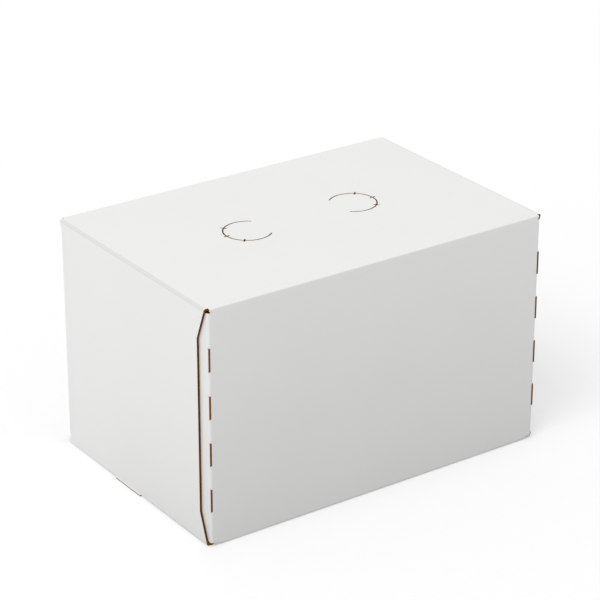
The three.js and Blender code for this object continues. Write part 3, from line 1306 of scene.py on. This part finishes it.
    def _folds(self) -> None:
        """Makes the folds between the sleeve's own panels."""
        planes = self.planes
        half = planes.dust - self.top_fold_inset
        foot = self.front_foot
        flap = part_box("glue_flap")[1].x / MM
        sag = {foot + sign * x: drop for x, drop in self.sag for sign in (-1, 1)}
        folds = {
            "top_front_fold": (half, -planes.side, planes.top, Y_AXIS, -Z_AXIS, Crease.TIGHT, {}),
            "top_back_fold": (half, planes.side, planes.top, -Y_AXIS, -Z_AXIS, Crease.TIGHT, {}),
            "front_bottom_fold": (foot, -planes.side, planes.bottom, Z_AXIS, Y_AXIS, Crease.PRESSED, sag),
            "back_glue_fold": (flap, planes.side, planes.seam, Z_AXIS, -Y_AXIS, Crease.TIGHT, {}),
        }
        for name, (reach, y, z, *ways, crease, hang) in folds.items():
            ends = (Vector((-reach, y, z)), Vector((reach, y, z)))
            self.shop.fit_fold(name, FoldStrip(self.board, *ends, *ways, crease, hang=hang), "sleeve")


@dataclass(frozen=True)
class EndClosure(EndAssembly):
    """One end: the end panel, the flap under the bottom, the dust flaps behind, and their folds."""

    dust_fold: DustFold
    tongue: LockTongue
    waist_inset: float = 7.7
    shoulder_drop: float = 17.2
    skirt_rise: float = 16.9
    under_depth: float = 24.0
    under_taper: float = 10.0
    under_corner: float = 5.0
    under_toes: tuple[Span, ...] = ((1.5, 0.2), (2.6, 0.9))
    dust_reach: float = 52.0
    dust_top_slope: float = 0.55
    dust_foot_slope: float = 0.06
    dust_corner: float = 6.0
    dust_toe: float = 3.0
    slit_gap: float = 0.05
    back_slit_gap: float = 0.48

    @property
    def half_width(self) -> float:
        """Half the width of the end panel at its folds."""
        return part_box(f"{self.name}_end_panel")[1].y / MM

    @property
    def waist(self) -> float:
        """Half the width of the end panel between its shoulders and its skirt."""
        return self.planes.side - self.waist_inset

    @property
    def foot_half_width(self) -> float:
        """Half the width of the end panel where its lower fold starts."""
        return self.half_width - (self.half_width - self.waist) * self.board.fold_reach / self.skirt_rise

    def build(self) -> None:
        """Makes every piece of the end."""
        self._end_panel()
        self._under_flap()
        for wall in Wall:
            self._dust_flap(wall)

    def _seat(self, plane: float) -> Seat:
        """Returns the seat of an upright sheet of this end, a distance from the carton's middle."""
        return Seat(X_AXIS * (self.sign * plane), Y_AXIS * self.sign, Z_AXIS)

    def _end_panel(self) -> None:
        """Makes the end panel, with the lip above its lock slit, and its fold to the top."""
        planes, reach, body = self.planes, self.board.fold_reach, f"{self.name}_end"
        head = planes.top - reach
        wide, waist = self.half_width, self.waist
        right = [(self.foot_half_width, reach), (waist, self.skirt_rise)]
        right += [(waist, planes.top - self.shoulder_drop), (wide, head)]
        folds = [level(reach), level(head)]
        sheet = Sheet(self.board, self._seat(planes.end), mirrored(right), folds, flutes=Flutes.ALONG_U)
        self.shop.fit_sheet(sheet, body, f"{body}_panel")
        corner = Vector((self.sign * planes.end, 0, planes.top))
        ends = (corner - Y_AXIS * wide, corner + Y_AXIS * wide)
        strip = FoldStrip(self.board, *ends, X_AXIS * -self.sign, -Z_AXIS, Crease.ROUND)
        # The end panel's fold to the top is greyer along its crease: painted shade.
        self.shop.fit_fold(f"{body}_fold", strip, "sleeve", body, crease_shaded=True)
        self.tongue.build_lip()

    def _under_flap(self) -> None:
        """Makes the flap beneath the bottom panel and its fold, with the lock slit, to the end panel."""
        end, sign, body = self.planes.end, self.sign, f"{self.name}_under"
        wide, foot_wide = self.half_width, self.foot_half_width
        fold_u, free_u = (sign * (end - inset) for inset in (self.board.fold_reach, self.under_depth))
        low, high = self.tongue.slit
        toes = [(fold_u - sign * depth, wide - inset, 0) for depth, inset in self.under_toes]
        half = [(fold_u, foot_wide, 0), *toes, (free_u, wide - self.under_taper, self.under_corner)]
        outline = rounded([(u, -v, corner) for u, v, corner in half] + half[::-1])
        outline += reversed(toothed(fold_u, fold_u - sign * self.tongue.pocket, [(-high, -low)]))
        sheet = Sheet(self.board, Seat.flat(0.0, faces_up=False), outline, [upright(fold_u)])
        self.shop.fit_sheet(sheet, body, f"{body}_flap")
        corner = X_AXIS * (sign * end)
        ends = (corner - Y_AXIS * foot_wide, corner + Y_AXIS * foot_wide)
        slits = [(foot_wide + low, foot_wide + high)]
        strip = FoldStrip(self.board, *ends, Z_AXIS, X_AXIS * -sign, Crease.ROUND, slits)
        self.shop.fit_fold(f"{body}_fold", strip, f"{self.name}_end", body)

    def _dust_flap(self, wall: Wall) -> None:
        """Makes a dust flap and its slit fold to the wall.

        Args:
            wall: The wall that it is folded from.
        """
        planes, reach, body = self.planes, self.board.fold_reach, f"{self.name}_{wall.label}_dust"
        foot, head = self.dust_fold.foot, self.dust_fold.head
        wall_u = self.sign * wall.value * planes.side
        inward = -math.copysign(1, wall_u)
        is_front = wall is Wall.FRONT
        gap = self.slit_gap if is_front else self.back_slit_gap
        crease = Crease.ROUND if is_front else Crease.TIGHT
        fold_u, free_u, slit_u = (wall_u + inward * depth for depth in (reach, self.dust_reach, gap))
        low = self.dust_fold.front_foot if is_front else planes.seam + reach
        corners = [
            (fold_u + inward * self.dust_toe, foot, 0),
            (free_u, foot + self.dust_foot_slope * self.dust_reach, self.dust_corner),
            (free_u, head - self.dust_top_slope * self.dust_reach, self.dust_corner),
            (fold_u, head, 0),
        ]
        outline = rounded(corners)
        outline += reversed(toothed(fold_u, slit_u, self.dust_fold.slits))
        outline.append((fold_u, low if is_front else foot))
        sheet = Sheet(self.board, self._seat(planes.dust), outline, [upright(fold_u)])
        self.shop.fit_sheet(sheet, body, f"{body}_flap")
        corner = Vector((self.sign * planes.dust, wall.value * planes.side, 0))
        slits = [(start - low, end - low) for start, end in self.dust_fold.slits]
        ends = (corner + Z_AXIS * low, corner + Z_AXIS * head)
        ways = (X_AXIS * -self.sign, Y_AXIS * -wall.value)
        self.shop.fit_fold(f"{body}_fold", FoldStrip(self.board, *ends, *ways, crease, slits), "sleeve", body)


# The studio


@dataclass(frozen=True)
class Studio:
    """A white floor and backdrop, soft light from the left and above, and the photograph's camera."""

    azimuth: float = -34.966
    elevation: float = 24.475
    distance_mm: float = 1290.5
    target_mm: tuple[float, float, float] = (-0.34, 0.31, 80.65)
    focal_pixels: float = 2501.9
    image_pixels: int = 600
    sensor_mm: float = 36.0
    floor_size: float = 8.0
    floor_share: float = 0.7
    fade_span: Span = (0.19, 0.6)
    mat_place: tuple[float, float, float] = (0.0, -0.15, 0.0)
    mat_span: Span = (0.1, 0.34)
    mat_shades: Span = (0.42, 0.86)
    sky_strength: float = 0.745
    key_place: tuple[float, float, float] = (-2.66, -1.0, 3.7)
    key_size: float = 3.04
    key_power: float = 76.0

    def build(self) -> None:
        """Sets up the whole studio."""
        bpy.context.scene.view_settings.view_transform = "Standard"
        self._world()
        self._floor()
        self._key()
        self._camera()

    @staticmethod
    def _seen(tree: Tree) -> Socket:
        """Adds a switch that is one for rays that show the background.

        Args:
            tree: Node tree of the world or the floor.

        Returns:
            The switch's output.
        """
        path = add_node(tree, "ShaderNodeLightPath").outputs
        seen = path["Is Camera Ray"]
        for ray in ("Is Glossy Ray", "Is Transmission Ray"):
            seen = add_node(tree, "ShaderNodeMath", {0: seen, 1: path[ray]}, operation="MAXIMUM").outputs[0]
        return seen

    def _world(self) -> None:
        """Lights the carton from all round, on a backdrop that shows white."""
        world = bpy.data.worlds.new("soft_box")
        tree = bare_tree(world)
        light, backdrop = (
            add_node(tree, "ShaderNodeBackground", {"Color": linear(WHITE), "Strength": strength})
            for strength in (self.sky_strength, 1.0)
        )
        mix = {0: self._seen(tree), 1: light.outputs[0], 2: backdrop.outputs[0]}
        both = add_node(tree, "ShaderNodeMixShader", mix)
        add_node(tree, "ShaderNodeOutputWorld", {"Surface": both.outputs[0]})
        bpy.context.scene.world = world

    def _floor(self) -> None:
        """Lays a floor that fades to white and keeps the carton's shadow.

        A darker mat round the carton is met only by the light that the floor sends back, so that the
        walls grow darker towards their feet as they do in the photograph.
        """
        material = bpy.data.materials.new("white_floor")
        tree = bare_tree(material)
        seen = self._seen(tree)
        place = add_node(tree, "ShaderNodeTexCoord").outputs["Object"]
        between = {0: place, 1: self.mat_place}
        distance = add_node(tree, "ShaderNodeVectorMath", between, operation="DISTANCE").outputs["Value"]
        ramps = []
        for limits in ((*self.mat_span, *self.mat_shades), (*self.fade_span, 1 - self.floor_share, 1.0)):
            ramp = dict(zip(("From Min", "From Max", "To Min", "To Max"), limits), Value=distance)
            ramps.append(add_node(tree, "ShaderNodeMapRange", ramp, interpolation_type="SMOOTHSTEP"))
        mat, fade = (ramp.outputs[0] for ramp in ramps)
        shades = {0: seen, MIX_FIRST: mat, MIX_SECOND: linear(WHITE)}
        shade = add_node(tree, "ShaderNodeMix", shades, data_type="RGBA")
        paint = add_node(tree, "ShaderNodeBsdfDiffuse", {"Color": shade.outputs[MIX_COLOUR]})
        glow = add_node(tree, "ShaderNodeEmission", {"Color": linear(WHITE), "Strength": 1.0})
        share = add_node(tree, "ShaderNodeMath", {0: seen, 1: fade}, operation="MULTIPLY")
        mix = {0: share.outputs[0], 1: paint.outputs[0], 2: glow.outputs[0]}
        both = add_node(tree, "ShaderNodeMixShader", mix)
        add_node(tree, "ShaderNodeOutputMaterial", {"Surface": both.outputs[0]})
        half = self.floor_size / 2
        corners = [(-half, -half, 0), (half, -half, 0), (half, half, 0), (-half, half, 0)]
        mesh = bpy.data.meshes.new("studio_floor")
        mesh.from_pydata(corners, [], [(0, 1, 2, 3)])
        mesh.materials.append(material)
        add_object("studio_floor", mesh)

    def _key(self) -> None:
        """Hangs the soft key light on the left."""
        lamp = bpy.data.lights.new("key_softbox", "AREA")
        lamp.shape = "DISK"
        lamp.size = self.key_size
        lamp.energy = self.key_power
        holder = add_object("key_softbox", lamp)
        holder.location = self.key_place
        holder.rotation_mode = "QUATERNION"
        holder.rotation_quaternion = (-Vector(self.key_place)).to_track_quat("-Z", "Y")

    def _camera(self) -> None:
        """Sets the camera that the photograph's outline was fitted to."""
        turn, rise = math.radians(self.azimuth), math.radians(self.elevation)
        back = Vector((math.sin(turn) * math.cos(rise), -math.cos(turn) * math.cos(rise), math.sin(rise)))
        data = bpy.data.cameras.new("photo_camera")
        data.sensor_width = self.sensor_mm
        data.lens = self.sensor_mm * self.focal_pixels / self.image_pixels
        camera = add_object("photo_camera", data)
        camera.location = (Vector(self.target_mm) + back * self.distance_mm) * MM
        camera.rotation_mode = "QUATERNION"
        camera.rotation_quaternion = (-back).to_track_quat("-Z", "Y")
        bpy.context.scene.camera = camera


def main() -> None:
    """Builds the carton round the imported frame, then the studio."""
    logging.basicConfig(level=logging.INFO, format="%(name)s: %(message)s")
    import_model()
    shop = BoardShop(Planes.from_frame())
    dust_fold = DustFold(shop)
    fingers = [FingerCut(shop, side) for side in Side]
    tongues = [LockTongue(shop, side) for side in Side]
    Sleeve(shop, fingers, dust_fold, tongues).build()
    for side, finger, tongue in zip(Side, fingers, tongues):
        EndClosure(shop, side, dust_fold, tongue).build()
        finger.build()
    Studio().build()


if __name__ == "__main__":
    main()
